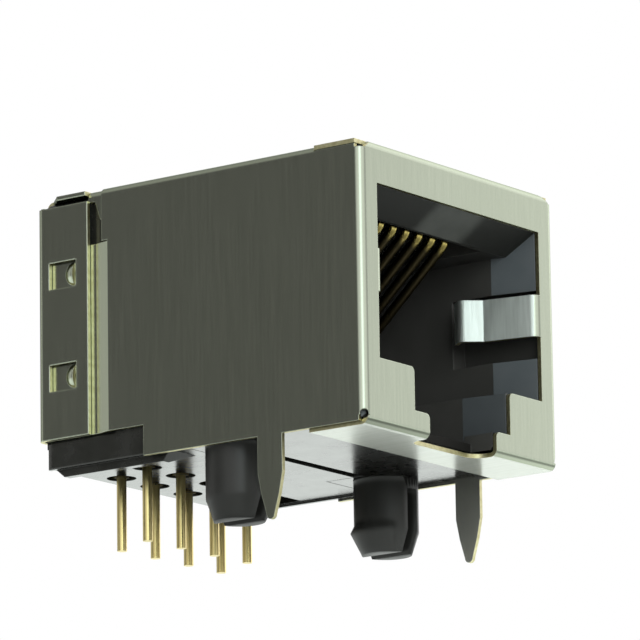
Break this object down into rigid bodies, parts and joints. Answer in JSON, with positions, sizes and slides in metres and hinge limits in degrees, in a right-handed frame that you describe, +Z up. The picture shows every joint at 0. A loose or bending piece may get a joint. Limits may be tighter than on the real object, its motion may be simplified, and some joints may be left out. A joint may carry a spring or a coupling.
{
  "type": "ethernet jack",
  "caption": "Shielded right-angle modular jack for board mounting, with a stepped plug opening, latch side down, round gold wire contacts and split pegs.",
  "frame": {"origin": "on the board plane, midway between the two locating pegs", "axes": "+X across the jack to the right seen from the plug opening, +Y from the opening to the rear, +Z up from the board"},
  "size_m": [0.0152, 0.019, 0.0169],
  "materials": {
    "shield": "nickel-plated brass sheet, satin, bare at the cut edges",
    "moulding": "black, smooth, half gloss",
    "contacts": "gold-plated wire, bright"
  },
  "bodies": {
    "root": {"housing": "moulding", "contact_insert": "moulding", "front_shield": "shield", "rear_shield": "shield", "contact_1": "contacts", "contact_2": "contacts", "contact_3": "contacts", "contact_4": "contacts", "contact_5": "contacts", "contact_6": "contacts", "contact_7": "contacts", "contact_8": "contacts"}
  },
  "joints": []
}
